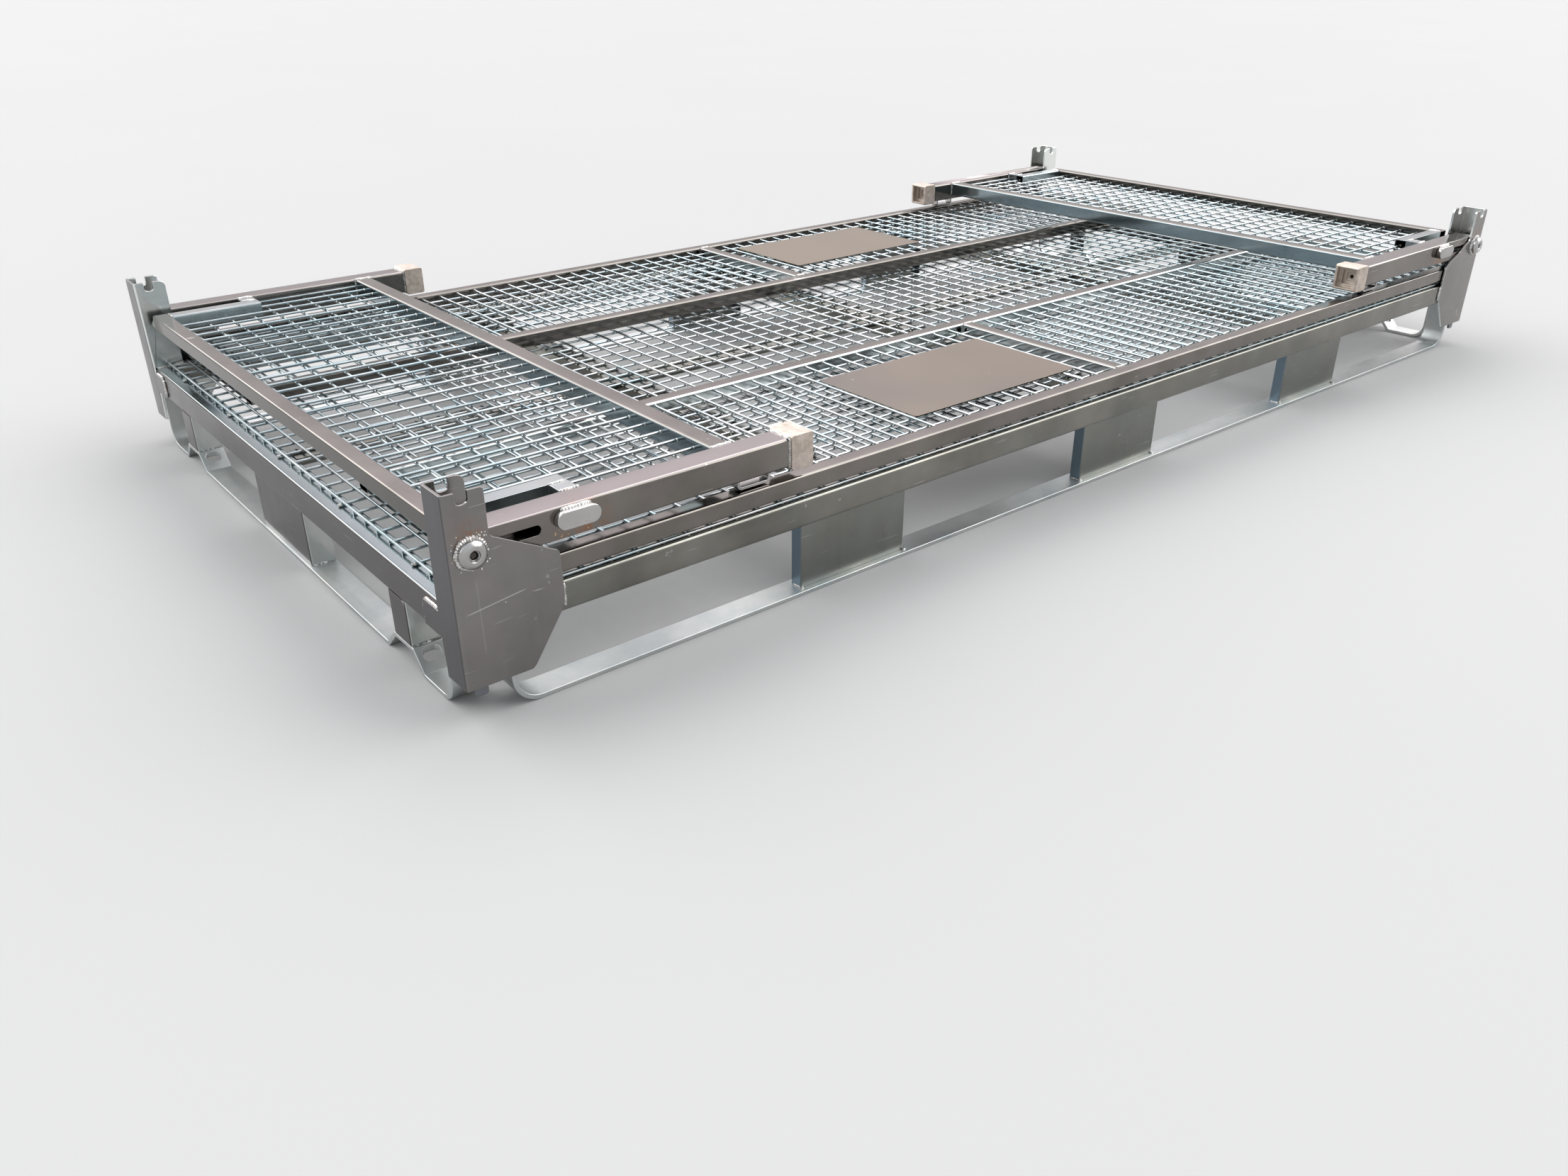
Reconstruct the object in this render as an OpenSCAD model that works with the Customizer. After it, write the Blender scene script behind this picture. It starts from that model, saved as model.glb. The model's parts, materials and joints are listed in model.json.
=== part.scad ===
// Folding wire mesh container for fork trucks, stored flat: two end walls folded in over
// two side walls, on a skid base with four stacking corner posts. Millimetres, +Z up.
// Origin: middle of the footprint, on the ground. X runs along the long side, Y across.

/* [Footprint] */
// Length over the corner posts
length = 2400; // [2000:50:3000]
// Width over the corner posts
width = 1216; // [1000:8:1400]
// Height of the corner posts
post_h = 240; // [235:5:300]
// Ground to the lower edge of the posts
post_drop = 46; // [40:1:60]

/* [Corner posts] */
// Post size across and along
post_s = 50; // [50:1:60]
// Post plate thickness
plate_t = 4; // [3:0.5:4.5]
// Reach of the side gusset along the long side
gusset_x = 134; // [120:2:160]
// Pivot distance from the end face
pivot_x = 26; // [25:0.5:28]
// Pivot height above the ground
pivot_z = 214; // [212:1:216]

/* [Base frame] */
// Height of the long base rails
rail_h = 40; // [35:1:45]
// Depth of the base rails
rail_d = 40; // [35:1:40]
// Skid bar width
skid_w = 40; // [30:1:40]
// Skid bar thickness
skid_t = 6; // [5:0.5:8]
// Width of a foot block
block_w = 195; // [150:5:220]
// Distance between foot block centres
block_pitch = 600; // [500:10:620]

/* [Walls] */
// Reach of a folded end wall from the end face
end_reach = 512; // [490:2:560]
// Square tube of the end wall uprights
upright = 40; // [36:1:40]
// Side of the cast caps
cap_s = 48; // [44:1:48]
// Reach of a folded side wall from the long face
side_reach = 395; // [350:5:420]
// Square tube of the side walls
side_tube = 25; // [20:1:25]
// Label plate length
label_l = 366; // [200:2:400]
// Label plate height
label_w = 220; // [150:2:240]

/* [Mesh] */
// Wire pitch
pitch = 37.5; // [30:0.5:50]
// Wire diameter
wire_d = 4; // [3:0.5:4]

/* [Hidden] */

FN = 48;              // facets of a true round
FN_WIRE = 24;         // facets of a wire
E = 0.1;              // overshoot of a cutter
STEPS = 8;            // facets of a 90 degree plate bend

half_l = length / 2;
half_w = width / 2;
post_top = post_drop + post_h;

// corner post outline
notch_x0 = 16;        // stacking notch, near edge
notch_x1 = 31;        // stacking notch, far edge
notch_deep = 15;
notch_r = 5;
prong_r = 5;          // rounded prong corner
foot_z = 228;         // where the prong meets the gusset
shoulder_x = gusset_x - 8; // gusset shoulder
shoulder_z = 187;
shoulder_r = 7;
side_top_z = 178;     // near-vertical gusset edge, upper end
side_low_z = 114;     // near-vertical gusset edge, lower end
slant_x = 86;         // foot of the slanting edge
tab_y = 92;           // reach of the end plate's tab along the end rail
tab_z0 = 97;
tab_z1 = 131;
inner_z0 = 139.2;     // lower edge of the inner plate, on the end rail
inner_r = 10;

// pivot pin
pin_r = 5.9;
pin_bore = 6.0;
pin_seat = 5.95;
head_r = 17;
head_h = 8;
dome_h = 4;
dome_r = 12;
socket_r = 6.5;
socket_h = 2.5;
hex_r = 4.6;
hex_h = 6;
collar_r = 10;
collar_h = 5;

// stacking tongue
tongue_x0 = 14;
tongue_x1 = 30;
tongue_y = 8;
tongue_t = 4;
tongue_low = 31;
foot_plate_z = 75;    // plate that closes the foot of the post
foot_plate_t = 4;

// base rails
rail_z1 = 143;
rail_z0 = rail_z1 - rail_h;
rail_t = 3;
rail_y = plate_t;
end_z0 = 94;
end_z1 = 139;
end_x = plate_t;
end_d = 35;
end_t = 3;
rail_x0 = end_x + end_d + 0.2;

// skids
skid_leg_x = 61;      // centre line of the upturned end
skid_r = 35;
end_leg_y = 54;
end_r = 27;
dip_y = 133;          // where the end skid leaves the ground
rise_y0 = 158;
rise_y1 = 211;
land_y = 239;
rise_z = 29;
skid_hole_l = 24;
skid_hole_w = 13;

// foot blocks
block_t = 3;
foot_in = 10;         // long side blocks, from the outer edge of the skid
corner_block_y0 = 161;
corner_block_y1 = 209;
end_block_x = 8;

// floor
bearer_w = 40;
bearer_h = 30;
bearer_t = 3;
stringer_w = 40;
stringer_h = 12;
gap = 0.2;            // between crossing wires
floor_lo = end_z1 + gap + wire_d / 2;
floor_hi = floor_lo + wire_d + gap;
floor_edge = 62;      // outer long wires, from the long face
floor_lip = 24;       // end of the long wires, from the end face
rim_y = 12;           // rim wire along a long rail, from the long face
rim_x = 54;           // end of a rim wire, from the end face

// end walls, measured from the end face and the long face
wall_y0 = 5;
wall_y1 = wall_y0 + upright;
wall_z0 = pivot_z - upright / 2;
wall_z1 = pivot_z + upright / 2;
upright_t = 2.5;
nose_r = upright / 2 - 0.5;
nose_clear = 24;
slot_end = 109;
slot_h = pin_bore - 0.05;
cap_l = 36;
cap_x0 = end_reach - cap_l;
cap_over = (cap_s - upright) / 2;
cap_pocket = 38;
cap_pocket_d = 12;
cap_step = 26;
cap_step_d = 7;
cap_seat_d = 4;
cap_seat = 16;
cap_hole_r = 3.5;
top_rail_x = 380;
top_rail_s = 30;
top_rail_t = 2.5;
low_rail_x = 14;
low_s = 25;
low_t = 2;
low_y = 70;
stub_x = 188;         // reach of the corner stubs
wire_z_hi = pivot_z + 8;
wire_z_lo = wire_z_hi - wire_d - gap;
end_wire_x0 = 51;     // first cross wire
edge_wire = 3.5;      // border wire, from the upright
lug_x0 = 131;
lug_l = 58;
lug_h = 23;
lug_z = pivot_z + 5;
lug_out = 10;
rest_x0 = 398;
rest_l = 54;
rest_y0 = 15;
rest_w = 20;
rest_t = 4;
rest_z = 178.5;
rest_r = 5;

// side walls
side_y0 = 5.5;
side_z0 = 152;
side_t = 2;
side_x = 56;          // end of the side wall, from the end face
side_y1 = side_reach;
side_z1 = side_z0 + side_tube;
side_end = half_l - side_x;
bay_y0 = side_y0 + side_tube;
bay_y1 = side_y1 - side_tube;
side_mid = side_z0 + side_tube / 2;
side_axis_y = side_y0 + side_tube / 2;
vent_r = 6;
vent_in = 10;
side_wire_hi = side_z0 + side_tube - 6;
side_wire_lo = side_wire_hi - wire_d - gap;
label_gap = 45;
label_y = 77;
label_t = 1.5;
ear_x = 44;
ear_t = 6;
ear_h = 43;
stub_pin_x = 41;
plug_s = side_tube - 2 * side_t - 0.2;
plug_l = 12;

// ---- helpers ----
function unit(v) = v / norm(v);
function left_of(v) = [-v[1], v[0]];
function before(p, i) = i > 0 ? unit(p[i] - p[i - 1]) : unit(p[1] - p[0]);
function after(p, i) = i < len(p) - 1 ? unit(p[i + 1] - p[i]) : before(p, i);
function mitre(p, i) =
    let (a = left_of(before(p, i)), b = left_of(after(p, i)), m = unit(a + b))
    m / (m * a);
function bar(p, t) = concat(
    [for (i = [0 : len(p) - 1]) p[i] + mitre(p, i) * t / 2],
    [for (i = [len(p) - 1 : -1 : 0]) p[i] - mitre(p, i) * t / 2]);
function arc(c, r, a0, a1, n) =
    [for (k = [0 : n]) c + r * [cos(a0 + (a1 - a0) * k / n), sin(a0 + (a1 - a0) * k / n)]];
function flip(p, w) = [for (i = [len(p) - 1 : -1 : 0]) [w - p[i][0], p[i][1]]];
function oblong(c, l, h, n) = concat(
    arc([c[0] + (l - h) / 2, c[1]], h / 2, -90, 90, n),
    arc([c[0] - (l - h) / 2, c[1]], h / 2, 90, 270, n));

// an outline in X and Z, running from y0 to y0 + t
module slab_y(points, y0, t) {
    translate([0, y0 + t, 0])
        rotate([90, 0, 0])
            linear_extrude(t)
                polygon(points);
}

// an outline in Y and Z, running from x0 to x0 + t
module slab_x(points, x0, t) {
    translate([x0, 0, 0])
        rotate([90, 0, 90])
            linear_extrude(t)
                polygon(points);
}

module box(x0, x1, y0, y1, z0, z1) {
    translate([x0, y0, z0])
        cube([x1 - x0, y1 - y0, z1 - z0]);
}

module round_x(x0, x1, y, z, r, n = FN) {
    translate([x0, y, z])
        rotate([0, 90, 0])
            cylinder(h = x1 - x0, r = r, $fn = n);
}

module round_y(x, y0, y1, z, r, n = FN) {
    translate([x, y0, z])
        rotate([-90, 0, 0])
            cylinder(h = y1 - y0, r = r, $fn = n);
}

module tube_x(x0, x1, y0, y1, z0, z1, t) {
    difference() {
        box(x0, x1, y0, y1, z0, z1);
        box(x0 - E, x1 + E, y0 + t, y1 - t, z0 + t, z1 - t);
    }
}

module tube_y(x0, x1, y0, y1, z0, z1, t) {
    difference() {
        box(x0, x1, y0, y1, z0, z1);
        box(x0 + t, x1 - t, y0 - E, y1 + E, z0 + t, z1 - t);
    }
}

// children are drawn from the front left corner inward
module at_corner() {
    translate([-half_l, -half_w, 0])
        children();
}

module other_end() {
    mirror([1, 0, 0])
        children();
}

module other_side() {
    mirror([0, 1, 0])
        children();
}

// ---- corner posts ----
function notch() = [
    [notch_x0, post_top],
    [notch_x0, post_top - notch_deep + notch_r],
    [notch_x0 + notch_r * 0.3, post_top - notch_deep + notch_r * 0.3],
    [notch_x0 + notch_r, post_top - notch_deep],
    [notch_x1 - notch_r, post_top - notch_deep],
    [notch_x1 - notch_r * 0.3, post_top - notch_deep + notch_r * 0.3],
    [notch_x1, post_top - notch_deep + notch_r],
    [notch_x1, post_top]
];

function outer_plate() = concat(
    [[0, post_drop], [0, post_top]],
    notch(),
    arc([post_s - prong_r, post_top - prong_r], prong_r, 90, 0, STEPS / 2),
    [[post_s, foot_z + 3], [post_s + 3, foot_z - 2]],
    arc([shoulder_x, shoulder_z - shoulder_r], shoulder_r, 65, 10, STEPS / 2),
    [[gusset_x, side_top_z - 16], [gusset_x, side_low_z + 14]],
    [[gusset_x - 1, side_low_z + 4], [gusset_x - 4, side_low_z - 4]],
    [[slant_x + 3, post_drop + 4], [slant_x - 2, post_drop]]);

function inner_plate() = concat(
    [[0, inner_z0], [0, post_top]],
    notch(),
    arc([post_s - inner_r, post_top - inner_r], inner_r, 90, 0, STEPS / 2),
    [[post_s, inner_z0]]);

function web_plate() = [
    [0, post_drop], [0, post_top], [post_s, post_top], [post_s, tab_z1],
    [tab_y - 4, tab_z1], [tab_y, tab_z1 - 4], [tab_y, tab_z0], [post_s, tab_z0],
    [post_s, post_drop]
];

module post() {
    color("lightsteelblue")
        difference() {
            union() {
                slab_y(outer_plate(), 0, plate_t);
                slab_x(web_plate(), 0, plate_t);
                slab_y(inner_plate(), post_s - plate_t, plate_t);
            }
            round_y(pivot_x, -E, post_s + E, pivot_z, pin_seat);
        }
}

module post_front_left() { at_corner() post(); }
module post_front_right() { other_end() at_corner() post(); }
module post_back_left() { other_side() at_corner() post(); }
module post_back_right() { other_side() other_end() at_corner() post(); }

// ---- pivot pins, headed outside and collared inside ----
module pivot_pin() {
    color("silver")
        difference() {
            union() {
                round_y(pivot_x, -head_h / 2, post_s + collar_h, pivot_z, pin_r);
                round_y(pivot_x, -head_h, 0, pivot_z, head_r);
                translate([pivot_x, -head_h, pivot_z])
                    rotate([90, 0, 0])
                        cylinder(h = dome_h, r1 = head_r, r2 = dome_r, $fn = FN);
                round_y(pivot_x, post_s, post_s + collar_h, pivot_z, collar_r);
            }
            round_y(pivot_x, -head_h - dome_h - E, -head_h - dome_h + socket_h, pivot_z, socket_r);
            round_y(pivot_x, -head_h - dome_h - E, -head_h - dome_h + hex_h, pivot_z, hex_r, 6);
        }
}

module pin_pair() {
    at_corner() pivot_pin();
    other_side() at_corner() pivot_pin();
}

module pivot_pins_left() { pin_pair(); }
module pivot_pins_right() { other_end() pin_pair(); }

// ---- tongues that drop into the post below in a stack ----
function tongue_outline() = concat(
    [[tongue_x0, foot_plate_z], [tongue_x1, foot_plate_z]],
    arc([tongue_x1 - 4, tongue_low + 4], 4, 0, -90, STEPS / 2),
    arc([tongue_x0 + 4, tongue_low + 4], 4, -90, -180, STEPS / 2));

// each tongue hangs from a plate that closes the foot of the post
module tongue() {
    color("slategray")
        union() {
            slab_y(tongue_outline(), tongue_y, tongue_t);
            box(plate_t, post_s, plate_t, post_s - plate_t,
                foot_plate_z, foot_plate_z + foot_plate_t);
        }
}

module stack_tongues() {
    at_corner() tongue();
    other_end() at_corner() tongue();
    other_side() at_corner() tongue();
    other_side() other_end() at_corner() tongue();
}

// ---- ears that carry the side walls ----
module ear() {
    color("darkgray")
        difference() {
            box(ear_x, ear_x + ear_t, plate_t, post_s - plate_t, rail_z1, rail_z1 + ear_h);
            round_x(ear_x - E, ear_x + ear_t + E, side_axis_y, side_mid, pin_bore);
        }
}

module hinge_ears() {
    at_corner() ear();
    other_end() at_corner() ear();
    other_side() at_corner() ear();
    other_side() other_end() at_corner() ear();
}

// ---- base rails ----
module long_rail() {
    color("gainsboro")
        translate([-half_l, -half_w, 0])
            tube_x(rail_x0, length - rail_x0, rail_y, rail_y + rail_d, rail_z0, rail_z1, rail_t);
}

module long_rail_front() { long_rail(); }
module long_rail_back() { other_side() long_rail(); }

module end_rail() {
    color("gainsboro")
        at_corner()
            difference() {
                box(end_x, end_x + end_d, rail_y, width - rail_y, end_z0, end_z1);
                box(end_x + end_t, end_x + end_d + E, rail_y - E, width - rail_y + E,
                    end_z0 + end_t, end_z1 - end_t);
            }
}

module end_rail_left() { end_rail(); }
module end_rail_right() { other_end() end_rail(); }

// ---- skids ----
long_half = concat(
    [[skid_leg_x, rail_z0]],
    arc([skid_leg_x + skid_r, skid_t / 2 + skid_r], skid_r, 180, 270, STEPS));

module long_skid() {
    color("powderblue")
        at_corner()
            slab_y(bar(concat(long_half, flip(long_half, length)), skid_t), rail_y, skid_w);
}

module long_skid_front() { long_skid(); }
module long_skid_back() { other_side() long_skid(); }

end_half = concat(
    [[end_leg_y, end_z0]],
    arc([end_leg_y + end_r, skid_t / 2 + end_r], end_r, 180, 270, STEPS),
    [[dip_y, skid_t / 2], [rise_y0, rise_z], [rise_y1, rise_z], [land_y, skid_t / 2]]);

// an oblong drain hole through each slope
module slope_hole(y) {
    translate([end_x + skid_w / 2, y, 0])
        linear_extrude(end_z0)
            polygon(oblong([0, 0], skid_hole_l, skid_hole_w, STEPS));
}

module end_skid() {
    color("powderblue")
        at_corner()
            difference() {
                slab_x(bar(concat(end_half, flip(end_half, width)), skid_t), end_x, skid_w);
                slope_hole((dip_y + rise_y0) / 2 + 3);
                slope_hole((rise_y1 + land_y) / 2 - 3);
                slope_hole(width - (dip_y + rise_y0) / 2 - 3);
                slope_hole(width - (rise_y1 + land_y) / 2 + 3);
            }
}

module end_skid_left() { end_skid(); }
module end_skid_right() { other_end() end_skid(); }

// ---- foot blocks, folded from plate and open inward ----
module fold_y(xc, w, y0, d, z0, z1) {
    difference() {
        box(xc - w / 2, xc + w / 2, y0, y0 + d, z0, z1);
        box(xc - w / 2 + block_t, xc + w / 2 - block_t, y0 + block_t, y0 + d + E, z0 - E, z1 + E);
    }
}

module fold_x(yc, w, x0, d, z0, z1) {
    difference() {
        box(x0, x0 + d, yc - w / 2, yc + w / 2, z0, z1);
        box(x0 + block_t, x0 + d + E, yc - w / 2 + block_t, yc + w / 2 - block_t, z0 - E, z1 + E);
    }
}

module foot_row() {
    color("lightgray")
        for (i = [-1 : 1])
            translate([i * block_pitch, -half_w, 0])
                fold_y(0, block_w, rail_y + foot_in, skid_w - 2 * foot_in, skid_t, rail_z0);
}

module foot_blocks_front() { foot_row(); }
module foot_blocks_back() { other_side() foot_row(); }

module end_row() {
    corner_c = (corner_block_y0 + corner_block_y1) / 2;
    corner_w = corner_block_y1 - corner_block_y0;
    color("lightgray")
        translate([-half_l, 0, 0]) {
            fold_x(0, block_w, end_block_x, end_x + skid_w - end_block_x, skid_t, end_z0);
            for (s = [-1, 1])
                fold_x(s * (half_w - corner_c), corner_w, end_x, skid_w,
                       rise_z + skid_t / 2, end_z0);
        }
}

module end_blocks_left() { end_row(); }
module end_blocks_right() { other_end() end_row(); }

// ---- floor ----
module floor_bearers() {
    color("lightgray")
        for (i = [-1 : 1])
            tube_y(i * block_pitch - bearer_w / 2, i * block_pitch + bearer_w / 2,
                   -half_w + rail_y + rail_d, half_w - rail_y - rail_d,
                   end_z1 - bearer_h, end_z1, bearer_t);
}

module floor_stringers() {
    b = bearer_w / 2;
    edge = half_l - rail_x0;
    cuts = [[-edge, -block_pitch - b], [-block_pitch + b, -b],
            [b, block_pitch - b], [block_pitch + b, edge]];
    color("silver")
        for (c = cuts)
            box(c[0], c[1], -stringer_w / 2, stringer_w / 2, end_z1 - stringer_h, end_z1);
}

module wire_x(x0, x1, y, z) { round_x(x0, x1, y, z, wire_d / 2, FN_WIRE); }
module wire_y(x, y0, y1, z) { round_y(x, y0, y1, z, wire_d / 2, FN_WIRE); }

// The cross wires lie on the long wires and butt against a rim wire on each long rail.
module floor_mesh() {
    reach_x = half_l - floor_lip;
    reach_y = half_w - rim_y - wire_d / 2 - gap;
    short_y = half_w - post_s - 2;
    rows = floor((half_w - floor_edge - pitch / 2) / pitch);
    cols = floor(reach_x / pitch - 1);
    color("white") {
        for (k = [-rows : rows])
            wire_x(-reach_x, reach_x, k * pitch, floor_lo);
        for (s = [-1, 1]) {
            wire_x(-reach_x, reach_x, s * (half_w - floor_edge), floor_lo);
            wire_x(-half_l + rim_x, half_l - rim_x, s * (half_w - rim_y), floor_hi);
            wire_y(s * (reach_x - wire_d / 2), -short_y, short_y, floor_hi);
            for (k = [0 : cols]) {
                x = (k + 0.5) * pitch;
                end_y = x > half_l - post_s - 3 ? short_y : reach_y;
                wire_y(s * x, -end_y, end_y, floor_hi);
            }
        }
    }
}

// ---- end walls, drawn folded at the left end ----
module upright_tube() {
    color("lightgray")
        at_corner()
            difference() {
                union() {
                    box(pivot_x, cap_x0, wall_y0, wall_y1, wall_z0, wall_z1);
                    round_y(pivot_x, wall_y0, wall_y1, pivot_z, nose_r);
                }
                box(pivot_x, cap_x0 + E, wall_y0 + upright_t, wall_y1 - upright_t,
                    wall_z0 + upright_t, wall_z1 - upright_t);
                box(pivot_x - upright, pivot_x + E, wall_y0 + upright_t, wall_y1 - upright_t,
                    pivot_z - nose_clear, pivot_z + nose_clear);
                round_y(pivot_x, wall_y0 - E, wall_y1 + E, pivot_z, pin_bore);
                round_y(slot_end, wall_y0 - E, wall_y1 + E, pivot_z, pin_bore);
                box(pivot_x, slot_end, wall_y0 - E, wall_y1 + E,
                    pivot_z - slot_h, pivot_z + slot_h);
            }
}

module end_uprights() {
    upright_tube();
    other_side() upright_tube();
}

module cap() {
    y0 = wall_y0 - cap_over;
    yc = (wall_y0 + wall_y1) / 2;
    step_x = end_reach - cap_pocket_d;
    seat_x = step_x - cap_step_d;
    color("bisque")
        at_corner()
            difference() {
                box(cap_x0, end_reach, y0, y0 + cap_s, pivot_z - cap_s / 2, pivot_z + cap_s / 2);
                box(step_x, end_reach + E, yc - cap_pocket / 2, yc + cap_pocket / 2,
                    pivot_z - cap_pocket / 2, pivot_z + cap_pocket / 2);
                box(seat_x, step_x + E, yc - cap_step / 2, yc + cap_step / 2,
                    pivot_z - cap_step / 2, pivot_z + cap_step / 2);
                box(seat_x - cap_seat_d, seat_x + E, yc - cap_seat / 2, yc + cap_seat / 2,
                    pivot_z - cap_seat / 2, pivot_z + cap_seat / 2);
                round_x(cap_x0 - E, end_reach, yc, pivot_z, cap_hole_r);
            }
}

module end_caps() {
    cap();
    other_side() cap();
}

module end_top_rail() {
    color("gainsboro")
        at_corner()
            tube_y(top_rail_x, top_rail_x + top_rail_s, wall_y1, width - wall_y1,
                   wall_z1 - top_rail_s, wall_z1, top_rail_t);
}

module end_low_rail() {
    color("tan")
        at_corner()
            tube_y(low_rail_x, low_rail_x + low_s, low_y, width - low_y,
                   wall_z1 - low_s, wall_z1, low_t);
}

module stub_pair() {
    at_corner() {
        tube_x(low_rail_x + low_s, stub_x, low_y, low_y + low_s, wall_z1 - low_s, wall_z1, low_t);
        tube_y(stub_x - low_s, stub_x, wall_y1, low_y, wall_z1 - low_s, wall_z1, low_t);
    }
}

module end_stubs() {
    color("silver") {
        stub_pair();
        other_side() stub_pair();
    }
}

module end_mesh() {
    in_x = low_rail_x + low_s;
    rows = floor((half_w - wall_y1 - pitch / 2) / pitch);
    cols = floor((top_rail_x - end_wire_x0 - pitch / 3) / pitch);
    color("white")
        translate([-half_l, 0, 0]) {
            for (k = [-rows : rows])
                wire_x(abs(k * pitch) > half_w - low_y - low_s - wire_d ? stub_x : in_x,
                       top_rail_x, k * pitch, wire_z_hi);
            for (s = [-1, 1])
                wire_x(stub_x, top_rail_x, s * (half_w - wall_y1 - edge_wire), wire_z_hi);
            for (k = [0 : cols]) {
                x = end_wire_x0 + k * pitch;
                reach = x > stub_x ? half_w - wall_y1 : half_w - low_y - low_s;
                wire_y(x, -reach, reach, wire_z_lo);
            }
        }
}

module lug() {
    color("silver")
        at_corner()
            slab_y(oblong([lug_x0 + lug_l / 2, lug_z], lug_l, lug_h, STEPS), wall_y0 - lug_out, lug_out);
}

module end_lugs() {
    lug();
    other_side() lug();
}

rest_zc = rest_z + rest_t / 2;
rest_half = concat(
    [[rest_x0 + rest_t / 2, wall_z0]],
    arc([rest_x0 + rest_t / 2 + rest_r, rest_zc + rest_r], rest_r, 180, 270, STEPS / 2));

module rest_loop() {
    color("white")
        at_corner()
            slab_y(bar(concat(rest_half, flip(rest_half, 2 * rest_x0 + rest_l)), rest_t),
                   rest_y0, rest_w);
}

module end_rests() {
    rest_loop();
    other_side() rest_loop();
}

module endwall_left_uprights() { end_uprights(); }
module endwall_left_caps() { end_caps(); }
module endwall_left_top_rail() { end_top_rail(); }
module endwall_left_low_rail() { end_low_rail(); }
module endwall_left_stubs() { end_stubs(); }
module endwall_left_mesh() { end_mesh(); }
module endwall_left_lugs() { end_lugs(); }
module endwall_left_rests() { end_rests(); }
module endwall_right_uprights() { other_end() end_uprights(); }
module endwall_right_caps() { other_end() end_caps(); }
module endwall_right_top_rail() { other_end() end_top_rail(); }
module endwall_right_low_rail() { other_end() end_low_rail(); }
module endwall_right_stubs() { other_end() end_stubs(); }
module endwall_right_mesh() { other_end() end_mesh(); }
module endwall_right_lugs() { other_end() end_lugs(); }
module endwall_right_rests() { other_end() end_rests(); }

// ---- side walls, drawn folded at the front ----
module side_outer_rail() {
    color("lightsteelblue")
        translate([0, -half_w, 0])
            tube_x(-side_end, side_end, side_y0, bay_y0, side_z0, side_z1, side_t);
}

module side_inner_rail() {
    color("lightsteelblue")
        translate([0, -half_w, 0])
            tube_x(-side_end, side_end, bay_y1, side_y1, side_z0, side_z1, side_t);
}

module stile(xc, vents) {
    difference() {
        tube_y(xc - side_tube / 2, xc + side_tube / 2, bay_y0, bay_y1, side_z0, side_z1, side_t);
        if (vents)
            for (y = [bay_y0 + vent_in, bay_y1 - vent_in])
                round_x(xc - side_tube, xc + side_tube, y, side_mid, vent_r);
    }
}

module side_stiles() {
    color("silver")
        translate([0, -half_w, 0]) {
            stile(0, true);
            stile(-side_end + side_tube / 2, false);
            stile(side_end - side_tube / 2, false);
        }
}

module pivot_stub() {
    color("dimgray")
        at_corner()
            union() {
                round_x(stub_pin_x, side_x + plug_l, side_axis_y, side_mid, pin_r);
                box(side_x, side_x + plug_l, side_axis_y - plug_s / 2, side_axis_y + plug_s / 2,
                    side_mid - plug_s / 2, side_mid + plug_s / 2);
            }
}

module side_pivots() {
    pivot_stub();
    other_end() pivot_stub();
}

// one bay of mesh between the centre stile and an end stile
module side_mesh() {
    x0 = side_tube / 2;
    x1 = side_end - side_tube;
    cols = floor((x1 - x0 - pitch / 2) / pitch);
    rows = floor((bay_y1 - bay_y0 - wire_d) / pitch - 0.5);
    color("white")
        translate([0, -half_w, 0]) {
            for (k = [1 : cols])
                wire_y(-x0 - k * pitch, bay_y0, bay_y1, side_wire_hi);
            for (k = [0 : rows])
                wire_x(-x1, -x0, bay_y0 + (k + 0.5) * pitch, side_wire_lo);
        }
}

module side_label() {
    x1 = -side_tube / 2 - label_gap;
    color("rosybrown")
        translate([0, -half_w, 0])
            box(x1 - label_l, x1, label_y, label_y + label_w,
                side_wire_hi + wire_d / 2 + gap, side_wire_hi + wire_d / 2 + gap + label_t);
}

module half_turn() {
    rotate([0, 0, 180])
        children();
}

module sidewall_front_outer_rail() { side_outer_rail(); }
module sidewall_front_inner_rail() { side_inner_rail(); }
module sidewall_front_stiles() { side_stiles(); }
module sidewall_front_pivots() { side_pivots(); }
module sidewall_front_mesh_a() { side_mesh(); }
module sidewall_front_mesh_b() { other_end() side_mesh(); }
module sidewall_front_label() { side_label(); }
module sidewall_back_outer_rail() { half_turn() side_outer_rail(); }
module sidewall_back_inner_rail() { half_turn() side_inner_rail(); }
module sidewall_back_stiles() { half_turn() side_stiles(); }
module sidewall_back_pivots() { half_turn() side_pivots(); }
module sidewall_back_mesh_a() { half_turn() side_mesh(); }
module sidewall_back_mesh_b() { half_turn() other_end() side_mesh(); }
module sidewall_back_label() { half_turn() side_label(); }

// ---- draw ----
post_front_left();
post_front_right();
post_back_left();
post_back_right();
pivot_pins_left();
pivot_pins_right();
stack_tongues();
hinge_ears();
long_rail_front();
long_rail_back();
end_rail_left();
end_rail_right();
long_skid_front();
long_skid_back();
end_skid_left();
end_skid_right();
foot_blocks_front();
foot_blocks_back();
end_blocks_left();
end_blocks_right();
floor_bearers();
floor_stringers();
floor_mesh();
endwall_left_uprights();
endwall_left_caps();
endwall_left_top_rail();
endwall_left_low_rail();
endwall_left_stubs();
endwall_left_mesh();
endwall_left_lugs();
endwall_left_rests();
endwall_right_uprights();
endwall_right_caps();
endwall_right_top_rail();
endwall_right_low_rail();
endwall_right_stubs();
endwall_right_mesh();
endwall_right_lugs();
endwall_right_rests();
sidewall_front_outer_rail();
sidewall_front_inner_rail();
sidewall_front_stiles();
sidewall_front_pivots();
sidewall_front_mesh_a();
sidewall_front_mesh_b();
sidewall_front_label();
sidewall_back_outer_rail();
sidewall_back_inner_rail();
sidewall_back_stiles();
sidewall_back_pivots();
sidewall_back_mesh_a();
sidewall_back_mesh_b();
sidewall_back_label();
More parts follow.
